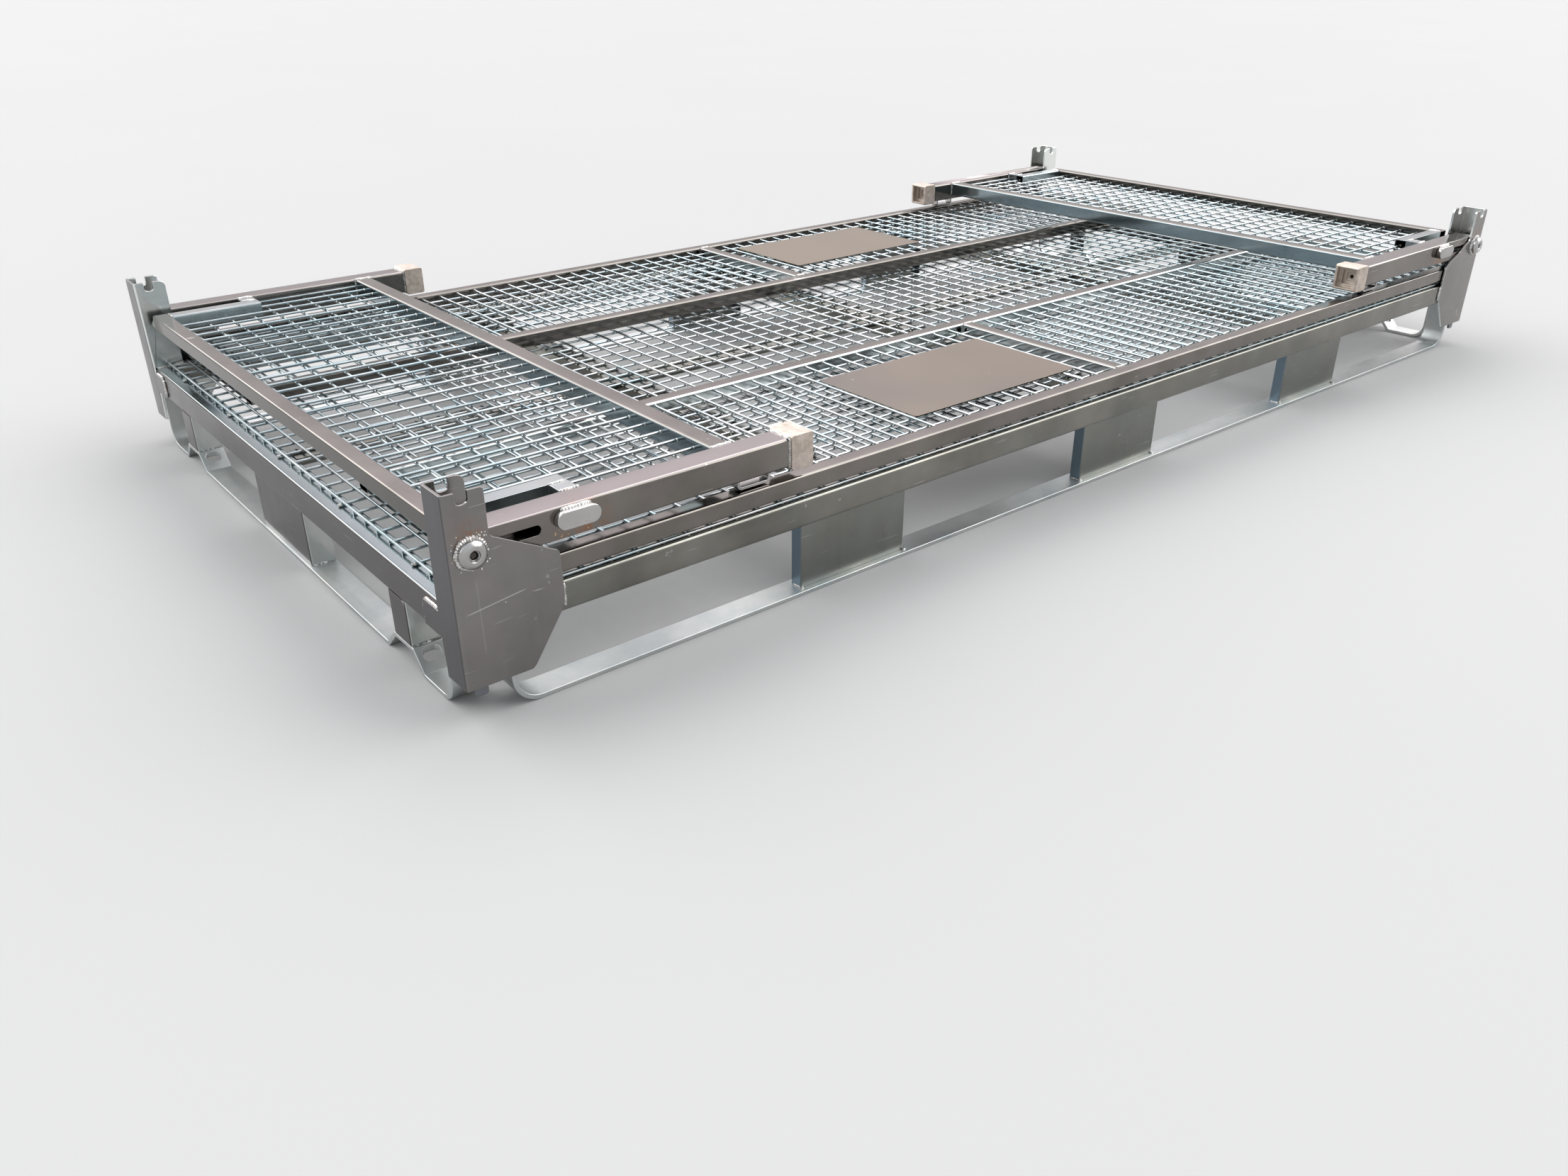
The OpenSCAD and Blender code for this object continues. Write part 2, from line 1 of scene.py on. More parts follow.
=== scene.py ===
"""Looks of the folding wire mesh container: rounded tubes and plates, weld beads and zinc."""

import json
import math
import random

import bmesh
import bpy
from mathutils import Matrix, Vector

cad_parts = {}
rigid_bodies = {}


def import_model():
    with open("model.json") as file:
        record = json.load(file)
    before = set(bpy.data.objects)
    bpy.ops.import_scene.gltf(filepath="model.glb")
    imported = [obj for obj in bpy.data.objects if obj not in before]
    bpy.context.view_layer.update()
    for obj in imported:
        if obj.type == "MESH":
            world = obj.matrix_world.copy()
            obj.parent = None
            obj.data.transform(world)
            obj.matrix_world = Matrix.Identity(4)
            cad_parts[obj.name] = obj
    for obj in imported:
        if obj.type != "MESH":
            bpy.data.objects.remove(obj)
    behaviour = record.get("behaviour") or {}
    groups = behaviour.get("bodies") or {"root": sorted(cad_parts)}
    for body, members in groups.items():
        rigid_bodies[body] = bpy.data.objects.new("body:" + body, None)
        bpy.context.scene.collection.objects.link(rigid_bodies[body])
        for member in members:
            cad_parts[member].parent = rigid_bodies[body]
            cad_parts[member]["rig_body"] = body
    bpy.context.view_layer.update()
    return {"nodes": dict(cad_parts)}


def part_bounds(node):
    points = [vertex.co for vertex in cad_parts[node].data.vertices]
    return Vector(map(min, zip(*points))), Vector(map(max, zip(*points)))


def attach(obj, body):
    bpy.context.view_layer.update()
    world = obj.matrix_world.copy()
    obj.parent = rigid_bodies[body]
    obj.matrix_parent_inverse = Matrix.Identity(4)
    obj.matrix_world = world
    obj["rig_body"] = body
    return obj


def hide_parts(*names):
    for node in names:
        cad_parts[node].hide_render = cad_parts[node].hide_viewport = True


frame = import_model()
NODES = frame["nodes"]
MM = 0.001
SAME = 1e-5                 # two coordinates this close, in metres, are equal
ENDS = {"left": -1, "right": 1}
SIDES = {"front": -1, "back": 1}
AXES = ("x", "y", "z")
X, Y, Z = range(3)


# ---- the frame's driving sizes, in metres ----
POST_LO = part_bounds("post_front_left")[0]
HALF_L = -POST_LO.x
HALF_W = -POST_LO.y


def inward_x(node, inner=False):
    """Distance of a left end node's outer (or inner) face from the end face."""
    low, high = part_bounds(node)
    return HALF_L + (high.x if inner else low.x)


def inward_y(node, inner=False):
    """Distance of a front node's outer (or inner) face from the long face."""
    low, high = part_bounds(node)
    return HALF_W + (high.y if inner else low.y)


def corner(end, side, x, y, z):
    """A point given by its distances from the end face and the long face, at one corner."""
    return Vector((ENDS[end] * (HALF_L - x), SIDES[side] * (HALF_W - y), z))


# Scratches on the outer plate of one corner post: distance from the end face and height.
POST_MARKS = [
    (corner("left", "front", x0, 0, z0), corner("left", "front", x1, 0, z1), amount)
    for x0, z0, x1, z1, amount in (
        (10 * MM, 141 * MM, 88 * MM, 151 * MM, 0.55),
        (92 * MM, 145 * MM, 110 * MM, 144 * MM, 0.5),
        (40 * MM, 120 * MM, 68 * MM, 122 * MM, 0.2),
        (28 * MM, 182 * MM, 29 * MM, 86 * MM, 0.14),
        (48 * MM, 210 * MM, 65 * MM, 213 * MM, 0.3),
    )
]


# ---- node materials ----
class Graph:
    """Adds and links nodes in one node tree."""

    def __init__(self, tree):
        self.tree = tree

    def node(self, kind, **inputs):
        made = self.tree.nodes.new("ShaderNode" + kind)
        for name, value in inputs.items():
            self.feed(made.inputs[name.replace("_", " ")], value)
        return made

    def feed(self, socket, value):
        if isinstance(value, bpy.types.NodeSocket):
            self.tree.links.new(value, socket)
        else:
            socket.default_value = value

    def span(self, value, low, high, to_low=0.0, to_high=1.0):
        """Maps low..high to to_low..to_high, held at both ends."""
        made = self.node("MapRange", Value=value)
        made.inputs["From Min"].default_value = low
        made.inputs["From Max"].default_value = high
        made.inputs["To Min"].default_value = to_low
        made.inputs["To Max"].default_value = to_high
        return made.outputs[0]

    def math(self, operation, a, b=0.0):
        made = self.tree.nodes.new("ShaderNodeMath")
        made.operation = operation
        self.feed(made.inputs[0], a)
        self.feed(made.inputs[1], b)
        return made.outputs[0]

    def vector(self, operation, a, b=(0, 0, 0)):
        made = self.tree.nodes.new("ShaderNodeVectorMath")
        made.operation = operation
        self.feed(made.inputs[0], a)
        self.feed(made.inputs[1], b)
        return made.outputs

    def mix(self, factor, a, b):
        made = self.tree.nodes.new("ShaderNodeMix")
        made.data_type = "RGBA"
        self.feed(made.inputs["Factor"], factor)
        for socket, value in ((made.inputs[6], a), (made.inputs[7], b)):
            self.feed(socket, value if isinstance(value, bpy.types.NodeSocket) else (*value, 1))
        return made.outputs[2]

    def ramp(self, value, stops):
        made = self.tree.nodes.new("ShaderNodeValToRGB")
        self.feed(made.inputs[0], value)
        ramp = made.color_ramp
        ramp.elements[0].position = stops[0][0]
        ramp.elements[1].position = stops[-1][0]
        for position, _ in stops[1:-1]:
            ramp.elements.new(position)
        for element, (_, color) in zip(ramp.elements, stops):
            element.color = (*color, 1)
        return made.outputs[0]


class Shader(Graph):
    """The nodes of one new material."""

    def __init__(self, name):
        self.material = bpy.data.materials.new(name)
        self.material.use_nodes = True
        super().__init__(self.material.node_tree)
        self.bsdf = self.tree.nodes["Principled BSDF"]
        source = self.tree.nodes.new("ShaderNodeTexCoord")
        self.coords = source.outputs["Object"]
        self.facing = source.outputs["Normal"]

    def mapped(self, scale, turn=(0, 0, 0)):
        made = self.node("Mapping", Vector=self.coords)
        made.inputs["Scale"].default_value = scale
        made.inputs["Rotation"].default_value = turn
        return made.outputs[0]

    def noise(self, scale, detail=3, rough=0.5, vector=None):
        made = self.node("TexNoise", Vector=vector or self.coords, Scale=scale, Detail=detail)
        made.inputs["Roughness"].default_value = rough
        return made.outputs["Fac"]

    def bump(self, height, strength, distance, under=None):
        made = self.node("Bump", Height=height, Strength=strength, Distance=distance)
        if under is not None:
            self.tree.links.new(under, made.inputs["Normal"])
        return made.outputs[0]

    def near(self, point, reach):
        """1 at a point that is mirrored to all four corners, falling to 0 at reach."""
        split = self.node("SeparateXYZ", Vector=self.coords)
        folded = self.node("CombineXYZ", Z=split.outputs[Z])
        for i in (X, Y):
            self.feed(folded.inputs[i], self.math("ABSOLUTE", split.outputs[i]))
        away = self.vector("DISTANCE", folded.outputs[0], point)["Value"]
        return self.span(away, 0, reach, 1, 0)

    def specks(self, scale, size, share):
        """Round specks in a share of the cells of a scattered pattern."""
        made = self.node("TexVoronoi", Vector=self.coords, Scale=scale)
        pick = self.node("SeparateXYZ", Vector=made.outputs["Color"])
        chosen = self.math("LESS_THAN", pick.outputs[0], share)
        return self.math("MULTIPLY", chosen, self.span(made.outputs["Distance"], size, size * 0.6))

    def stroke(self, start, stop, width):
        """A straight scratch between two points of an XZ face."""
        run = stop - start
        along = run.normalized()
        across = Vector((-along.z, 0, along.x))
        away = self.vector("SUBTRACT", self.coords, start)["Vector"]
        off = self.math("ABSOLUTE", self.vector("DOT_PRODUCT", away, across)["Value"])
        reach = self.vector("DOT_PRODUCT", away, along)["Value"]
        fade = 8 * MM
        ends = self.math("MULTIPLY", self.span(reach, 0, fade),
                         self.span(reach, run.length, run.length - fade))
        return self.math("MULTIPLY", ends, self.span(off, width, width * 0.4))

    def finish(self, color, roughness, normal, metallic=1.0):
        self.feed(self.bsdf.inputs["Base Color"], color)
        self.feed(self.bsdf.inputs["Roughness"], roughness)
        self.feed(self.bsdf.inputs["Normal"], normal)
        self.bsdf.inputs["Metallic"].default_value = metallic
        return self.material


STAIN = (0.30, 0.11, 0.03)
BLUE = (0.20, 0.30, 0.36)
MAUVE = (0.31, 0.245, 0.27)
# Painted teal reflection for the foot blocks' faces that point along x.
PAINTED_TEAL_REFLECTION = (0.19, 0.27, 0.34)
# Painted pale light for the stubs' faces along y and the end rails' top faces.
PAINTED_PALE_LIGHT = (0.40, 0.47, 0.485)
# Painted pale light for the faces inside the corner posts and the end blocks' faces along y.
PAINTED_INNER_LIGHT = (0.88, 0.91, 0.88)
BARE = (0.66, 0.65, 0.64)
# Painted shade in the sockets of the pin heads.
PAINTED_SOCKET_SHADE = (0.03, 0.025, 0.02)
# Painted bright reflection on the outward faces of the side walls' inner rails.
PAINTED_BRIGHT_REFLECTION = (0.76, 0.82, 0.82)
# Painted shade for the faces of tubes and uprights that point along x.
PAINTED_SHADE = (0.080, 0.077, 0.069)
FINISHES = {
    # name: (light, dark, tint, tint share, smoothest, roughest, waviness)
    "plate": ((0.248, 0.237, 0.229), (0.186, 0.178, 0.172), MAUVE, 0.12, 0.17, 0.30, 0.16),
    "tube": ((0.205, 0.190, 0.172), (0.140, 0.130, 0.117), MAUVE, 0.16, 0.10, 0.20, 0.08),
    "rail": ((0.235, 0.226, 0.200), (0.145, 0.142, 0.126), BLUE, 0.08, 0.12, 0.24, 0.10),
    # Darker than the rail finish as painted shade; the top faces get painted pale light again.
    "end_rail": ((0.100, 0.092, 0.090), (0.074, 0.067, 0.067), MAUVE, 0.06, 0.14, 0.26, 0.10),
    "skid": ((0.62, 0.63, 0.61), (0.48, 0.50, 0.50), BLUE, 0.25, 0.36, 0.46, 0.04),
    "block": ((0.225, 0.227, 0.207), (0.175, 0.178, 0.163), BLUE, 0.10, 0.26, 0.38, 0.10),
    # The colours of end_rail: darker than the block finish as painted shade; faces along y get
    # painted pale light again.
    "end_block": ((0.100, 0.092, 0.090), (0.074, 0.067, 0.067), MAUVE, 0.06, 0.14, 0.26, 0.16),
    "stub": ((0.34, 0.36, 0.36), (0.24, 0.26, 0.265), BLUE, 0.30, 0.22, 0.36, 0.10),
    "dull": ((0.22, 0.22, 0.23), (0.14, 0.14, 0.15), BLUE, 0.20, 0.32, 0.48, 0.20),
    "pin": ((0.50, 0.49, 0.48), (0.32, 0.315, 0.31), MAUVE, 0.15, 0.16, 0.32, 0.20),
}
# The upright, top rail, inner rail and stile finishes are copies of the tube finish that differ
# only by their painted light and shade.
for frame_kind in ("upright", "top_rail", "inner_rail", "stile"):
    FINISHES[frame_kind] = FINISHES["tube"]
# Painted light and shade on faces that point along one axis: (axis, colour, share) for each kind
# of finish. Dark colours are painted shade, pale and bluish ones painted highlight and reflection.
PAINTED_FACE_LIGHT = {
    # Painted shade on the posts' faces that point along x.
    "plate": [(X, (0.066, 0.064, 0.072), 0.8)],
    # Painted shade on the tubes' faces that point along x.
    "tube": [(X, PAINTED_SHADE, 0.8)],
    # Painted shade on the uprights' faces along x, painted highlight on their top faces.
    "upright": [(X, PAINTED_SHADE, 0.8), (Z, (0.31, 0.28, 0.28), 0.8)],
    # Painted bluish reflection on the top rails' faces along x.
    "top_rail": [(X, (0.28, 0.35, 0.38), 0.85)],
    # Painted pale highlight on the stiles' faces along x.
    "stile": [(X, (0.60, 0.64, 0.64), 0.8)],
    # Painted teal reflection on the foot blocks' faces along x.
    "block": [(X, PAINTED_TEAL_REFLECTION, 0.8)],
    # Painted pale light on the end blocks' faces along y.
    "end_block": [(Y, PAINTED_INNER_LIGHT, 0.85)],
    # Painted pale light on the stubs' faces along y.
    "stub": [(Y, PAINTED_PALE_LIGHT, 0.7)],
    # Painted highlight on the end rails' top faces.
    "end_rail": [(Z, PAINTED_PALE_LIGHT, 0.75)],
}
made_finishes = {}


def aged_zinc(s, finish, streak, patch):
    """Clouds, tinted patches, rolling streaks, rubbed marks, scratches and bare specks."""
    light, dark, tint, share = finish
    cloud = s.noise(7.0, detail=4, rough=0.55)
    color = s.mix(s.span(cloud, 0.35, 0.65), dark, light)
    color = s.mix(s.math("MULTIPLY", s.span(patch, 0.45, 0.68), share), color, tint)
    color = s.mix(s.span(streak, 0.35, 0.75, 0, 0.35), color, light)
    mark = s.noise(38.0, detail=6, rough=0.7, vector=s.mapped((1, 1, 1), (0.4, 0.3, 0.8)))
    color = s.mix(s.span(mark, 0.66, 0.72, 0, 0.35), color, BARE)
    scratch = s.noise(1.0, detail=1, rough=0.3, vector=s.mapped((17, 17, 900), (0.25, 0.6, 0.2)))
    color = s.mix(s.span(scratch, 0.77, 0.80, 0, 0.6), color, BARE)
    return s.mix(s.math("MULTIPLY", s.specks(42.0, 0.045, 0.22), 0.85), color, BARE)


def paint_socket_shade(s, color):
    """Paints shade into the socket in each pin head."""
    place = s.node("SeparateXYZ", Vector=s.coords)
    off_x = s.math("SUBTRACT", s.math("ABSOLUTE", place.outputs[X]), HALF_L - pivot_x)
    off_z = s.math("SUBTRACT", place.outputs[Z], pivot_z)
    away = s.math("SQRT", s.math("ADD", s.math("POWER", off_x, 2), s.math("POWER", off_z, 2)))
    return s.mix(s.span(away, SOCKET_R, SOCKET_R * 0.85, 0, 0.9), color, PAINTED_SOCKET_SHADE)


def paint_face_light_and_shade(s, color, kind):
    """Paints light and shade on the faces that the table of painted face light names, in both
    directions of their axis.
    """
    for across, tint, share in PAINTED_FACE_LIGHT.get(kind, ()):
        faced = s.node("SeparateXYZ", Vector=s.facing).outputs[across]
        color = s.mix(s.span(s.math("ABSOLUTE", faced), 0.75, 0.97, 0, share), color, tint)
    return color


def paint_reflection_on_outward_faces(s, color):
    """Paints a bright reflection on the long faces of a side wall's inner rail that look out of
    the container.
    """
    place, faced = (s.node("SeparateXYZ", Vector=v).outputs[Y] for v in (s.coords, s.facing))
    outward = s.math("GREATER_THAN", s.math("MULTIPLY", place, faced), 100 * MM)
    return s.mix(s.math("MULTIPLY", outward, 0.8), color, PAINTED_BRIGHT_REFLECTION)


def post_faces(s, color):
    """Painted pale light on the faces inside the corner posts, and the scratches of one post."""
    place, faced = (s.node("SeparateXYZ", Vector=v) for v in (s.coords, s.facing))
    inner = [s.math("MULTIPLY", place.outputs[i], faced.outputs[i]) for i in (X, Y)]
    inner = s.math("MAXIMUM", s.math("LESS_THAN", inner[X], -HALF_L / 2),
                   s.math("LESS_THAN", inner[Y], -HALF_W / 2))
    # Painted light on the inner faces.
    color = s.mix(s.math("MULTIPLY", inner, 0.85), color, PAINTED_INNER_LIGHT)
    for start, stop, amount in POST_MARKS:
        color = s.mix(s.math("MULTIPLY", s.stroke(start, stop, 0.9 * MM), amount), color, BARE)
    return color


def zinc(kind, axis, stains=()):
    """Zinc plate whose rolling streaks run along one axis."""
    name = f"zinc_{kind}_{AXES[axis]}"
    if name in made_finishes:
        return made_finishes[name]
    *colors, smooth, rough, wavy = FINISHES[kind]
    s = Shader(name)
    stretch = [55.0, 55.0, 55.0]
    stretch[axis] = 1.6
    streak = s.noise(1.0, detail=5, rough=0.6, vector=s.mapped(stretch))
    patch = s.noise(16.0, detail=5, rough=0.65)
    grain = s.noise(620.0, detail=2, rough=0.6)
    wave = s.noise(11.0, detail=1, rough=0.4)
    color = aged_zinc(s, colors, streak, patch)
    if kind == "pin":
        color = paint_socket_shade(s, color)
    # Painted light and shade by the way each face points.
    color = paint_face_light_and_shade(s, color, kind)
    if kind == "inner_rail":
        color = paint_reflection_on_outward_faces(s, color)
    if kind == "plate":
        color = post_faces(s, color)
    for point, reach, amount in stains:
        broken = s.span(s.noise(150.0, detail=4, rough=0.7), 0.42, 0.60)
        zone = s.math("MULTIPLY", s.near(point, reach), broken)
        color = s.mix(s.math("MULTIPLY", zone, amount), color, STAIN)
    roughness = s.span(s.math("ADD", streak, patch), 0.75, 1.3, smooth, rough)
    normal = s.bump(wave, wavy, 4 * MM)
    normal = s.bump(streak, 0.04, 0.5 * MM, normal)
    normal = s.bump(grain, 0.07, 0.1 * MM, normal)
    made_finishes[name] = s.finish(color, roughness, normal)
    return made_finishes[name]


def bright_wire():
    """Drawn and zinc plated wire, bluish in small patches and over wide stretches."""
    dark, light = (0.27, 0.295, 0.31), (0.48, 0.49, 0.49)
    small_blue, wide_blue = (0.20, 0.31, 0.36), (0.25, 0.335, 0.36)
    s = Shader("zinc_wire")
    cloud = s.noise(23.0, detail=3)
    color = s.mix(s.span(cloud, 0.35, 0.65), dark, light)
    small = s.noise(9.0, detail=4, rough=0.6)
    color = s.mix(s.span(small, 0.52, 0.66, 0, 0.5), color, small_blue)
    wide = s.noise(1.9, detail=2, rough=0.4)
    color = s.mix(s.span(wide, 0.46, 0.62, 0, 0.45), color, wide_blue)
    drawn = s.noise(900.0, detail=2)
    return s.finish(color, s.span(cloud, 0.3, 0.7, 0.18, 0.34), s.bump(drawn, 0.08, 0.1 * MM))


def cast_steel():
    """Rough cast caps, brownish and grey."""
    brown, tan = (0.40, 0.34, 0.29), (0.56, 0.49, 0.43)
    grey, mauve = (0.70, 0.66, 0.63), (0.40, 0.33, 0.36)
    s = Shader("cast_steel")
    grit = s.noise(420.0, detail=4, rough=0.7)
    lump = s.noise(90.0, detail=3, rough=0.6)
    color = s.mix(s.span(lump, 0.35, 0.65), brown, tan)
    color = s.mix(s.span(grit, 0.58, 0.70, 0, 0.7), color, grey)
    color = s.mix(s.span(s.noise(30.0, detail=3), 0.58, 0.70, 0, 0.4), color, mauve)
    normal = s.bump(grit, 0.35, 0.5 * MM, s.bump(lump, 0.30, 1.2 * MM))
    return s.finish(color, s.span(grit, 0.3, 0.7, 0.38, 0.58), normal, 0.85)


def plated_sheet():
    """The blank label plates; the front one grows warmer from left to right."""
    left, right, warm = (0.144, 0.129, 0.121), (0.188, 0.154, 0.118), (0.215, 0.177, 0.133)
    s = Shader("label_sheet")
    across = s.node("SeparateXYZ", Vector=s.coords).outputs[X]
    low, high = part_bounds("sidewall_front_label")
    cloud = s.noise(3.0, detail=2, rough=0.4)
    color = s.mix(s.span(across, low.x, high.x), left, right)
    color = s.mix(s.span(cloud, 0.40, 0.62, 0, 0.6), color, warm)
    color = s.mix(s.specks(26.0, 0.04, 0.15), color, BARE)
    normal = s.bump(s.noise(5.0, detail=1), 0.18, 3 * MM)
    normal = s.bump(s.noise(700.0, detail=2), 0.15, 0.1 * MM, normal)
    return s.finish(color, s.span(cloud, 0.3, 0.7, 0.30, 0.38), normal)


def weld_metal(name, low, high, rust):
    """Lumpy weld metal; rust is the share of its brown patches."""
    s = Shader(name)
    lump = s.noise(260.0, detail=4, rough=0.6)
    color = s.mix(s.span(lump, 0.35, 0.62), low, high)
    color = s.mix(s.span(s.noise(70.0, detail=3), 0.60, 0.72, 0, rust), color, (0.42, 0.25, 0.13))
    return s.finish(color, s.span(lump, 0.3, 0.7, 0.20, 0.40), s.bump(lump, 0.35, 0.6 * MM))


# ---- pieces made from CAD nodes ----
FLAT = math.radians(0.5)            # faces that differ by less are one face
SHARP = math.radians(35)            # edges that turn by more are eased
SMOOTH_LIMIT = math.radians(40)     # edges that turn by more are shaded sharp
SHEET_LIMIT = 5 * MM                # more than the folded sheets are thick
BEND_STEPS, EASE_STEPS = 4, 2


def loose_parts(bm):
    """The separate solids of a mesh, as lists of vertices."""
    left = set(bm.verts)
    while left:
        stack = [left.pop()]
        part = list(stack)
        while stack:
            for edge in stack.pop().link_edges:
                for v in edge.verts:
                    if v in left:
                        left.remove(v)
                        part.append(v)
                        stack.append(v)
        yield part


def part_box(part):
    """The lowest and highest coordinates of a list of vertices."""
    return [[pick(v.co[i] for v in part) for i in range(3)] for pick in (min, max)]


def outer_edges(bm, bend_axis):
    """Edges along the outer corners of each solid, by default along its longest side."""
    found = []
    for part in loose_parts(bm):
        low, high = part_box(part)
        axis = bend_axis
        if axis is None:
            axis = max(range(3), key=lambda i: (round(high[i] - low[i], 4), i == Y))
        others = [i for i in range(3) if i != axis]
        for edge in {e for v in part for e in v.link_edges}:
            a, b = edge.verts[0].co, edge.verts[1].co
            along = all(abs(a[i] - b[i]) < SAME for i in others)
            on_box = all(min(abs(a[i] - low[i]), abs(a[i] - high[i])) < SAME for i in others)
            if along and on_box:
                found.append(edge)
    return found


def sharp_edges(bm):
    return [e for e in bm.edges if len(e.link_faces) == 2 and e.calc_face_angle(0) > SHARP]


def is_upright(edge):
    """True for an edge that runs up a folded corner, not across the sheet."""
    return abs(edge.verts[0].co.z - edge.verts[1].co.z) > SHEET_LIMIT


def cad_mesh(node):
    """A CAD node's mesh with its vertices joined and its flat faces whole."""
    bm = bmesh.new()
    bm.from_mesh(NODES[node].data)
    bmesh.ops.remove_doubles(bm, verts=bm.verts, dist=1e-6)
    bmesh.ops.dissolve_limit(bm, angle_limit=FLAT, verts=bm.verts, edges=bm.edges)
    return bm


def add_piece(bm, name, body, material, weighted=True):
    """A visible piece that rides on a body."""
    mesh = bpy.data.meshes.new(name)
    bmesh.ops.recalc_face_normals(bm, faces=bm.faces)
    bm.to_mesh(mesh)
    bm.free()
    mesh.shade_smooth()
    mesh.set_sharp_from_angle(angle=SMOOTH_LIMIT)
    mesh.materials.append(material)
    piece = bpy.data.objects.new(name, mesh)
    bpy.context.scene.collection.objects.link(piece)
    if weighted:
        piece.modifiers.new("weighted", "WEIGHTED_NORMAL").keep_sharp = True
    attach(piece, body)
    return piece


def round_edges(bm, edges, radius, segments):
    if edges and radius:
        bmesh.ops.bevel(bm, geom=edges, offset=radius, offset_type="OFFSET", segments=segments,
                        profile=0.5, affect="EDGES", clamp_overlap=False)


def refine(node, material, bend=0.0, bend_axis=None, edge=0.5 * MM, pick=None):
    """A CAD node with rolled or folded corners of radius bend and eased edges."""
    bm = cad_mesh(node)
    chosen = []
    if bend:
        chosen = pick(bm) if pick else outer_edges(bm, bend_axis)
    round_edges(bm, chosen, bend, BEND_STEPS)
    round_edges(bm, sharp_edges(bm), edge, EASE_STEPS)
    piece = add_piece(bm, node + "_shell", NODES[node]["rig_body"], material)
    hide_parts(node)
    return piece


def fold_edges(bm):
    """The upright edges where a corner post's web meets its two plates."""
    far_x = max(abs(v.co.x) for v in bm.verts)
    far_y = max(abs(v.co.y) for v in bm.verts)
    folds = (far_y, far_y - POST_S)
    return [e for e in bm.edges
            if is_upright(e)
            and all(abs(abs(v.co.x) - far_x) < SAME for v in e.verts)
            and all(min(abs(abs(v.co.y) - f) for f in folds) < SAME for v in e.verts)]


def block_edges(depth):
    """Picks the upright edges on the outer face of folded blocks that are open inward."""
    across = 1 - depth

    def pick(bm):
        found = []
        for part in loose_parts(bm):
            low, high = part_box(part)
            face = max(low[depth], high[depth], key=abs)
            corners = (low[across], high[across])
            for e in {e for v in part for e in v.link_edges}:
                if (is_upright(e)
                        and all(abs(v.co[depth] - face) < SAME for v in e.verts)
                        and all(min(abs(v.co[across] - c) for c in corners) < SAME
                                for v in e.verts)):
                    found.append(e)
        return found
    return pick


# ---- weld beads ----
def ripple(seed):
    """A radius factor along a bead: ripples of the weld pool and slow swells."""
    rng = random.Random(seed)
    phase, slow, pitch = rng.uniform(0, 6), rng.uniform(0, 6), rng.uniform(3.2, 4.2) * MM
    ripples, swells, swell_length = 0.13, 0.12, 17 * MM
    return lambda s: (1 + ripples * math.sin(2 * math.pi * s / pitch + phase)
                      + swells * math.sin(2 * math.pi * s / swell_length + slow))


def add_bead(bm, points, radius, seed, closed=False, sides=8):
    """A lumpy tube along a line of points."""
    step = 1.2 * MM
    line = [points[0]]
    path = points + points[:1] if closed else points
    for a, b in zip(path, path[1:]):
        count = max(1, round((b - a).length / step))
        line += [a.lerp(b, k / count) for k in range(1, count + 1)]
    if closed:
        line.pop()
    factor = ripple(seed)
    rings = []
    count = len(line)
    for i, p in enumerate(line):
        back = line[i - 1] if i or closed else p
        ahead = line[(i + 1) % count] if i < count - 1 or closed else p
        t = (ahead - back).normalized()
        side = t.orthogonal() if abs(t.z) > 0.9 else t.cross(Vector((0, 0, 1)))
        side.normalize()
        up = side.cross(t)
        edge = min(i, count - 1 - i) * step
        taper = 1 if closed else min(1, 0.45 + edge / (2.2 * radius))
        r = radius * factor(i * step) * taper
        ring = []
        for k in range(sides):
            a = 2 * math.pi * k / sides
            ring.append(bm.verts.new(p + r * (math.cos(a) * side + math.sin(a) * up)))
        rings.append(ring)
    pairs = list(zip(rings, rings[1:])) + ([(rings[-1], rings[0])] if closed else [])
    for one, two in pairs:
        for k in range(sides):
            n = (k + 1) % sides
            bm.faces.new((one[k], one[n], two[n], two[k]))
    if not closed:
        bm.faces.new(rings[0][::-1])
        bm.faces.new(rings[-1])


def add_blob(bm, at, radius, squash=(1, 1, 1)):
    """A small spatter bead or spot weld."""
    turn = Matrix.Translation(at) @ Matrix.Diagonal((*[radius * k for k in squash], 1))
    bmesh.ops.create_icosphere(bm, subdivisions=1, radius=1, matrix=turn)


def weld_piece(name, body, fill, material=None):
    """A piece of beads and blobs that fill adds to an empty mesh."""
    bm = bmesh.new()
    fill(bm)
    piece = add_piece(bm, name, body, material or WELD, weighted=False)
    return piece


# ---- sizes of the design ----
POST_S = 50 * MM            # a corner post across
SOCKET_R = 5.6 * MM         # the socket in a pin head
PITCH = 37.5 * MM           # between wires
WIRE_D = 4 * MM
TAB_Y = POST_S + 42 * MM    # the tab that laps the end rail: far edge, top and foot
TAB_TOP = 131 * MM
TAB_LOW = 97 * MM
LEG_X = 64 * MM             # the inner face of a long skid's upturned end
END_LEG_Y = 58 * MM         # the inner face of an end skid's upturned end
BLOCK_PITCH = 600 * MM      # between foot blocks of a long side
CORNER_BLOCK_W = 48 * MM
CORNER_RISE = 26 * MM       # the foot of a corner block, above the centre block's foot

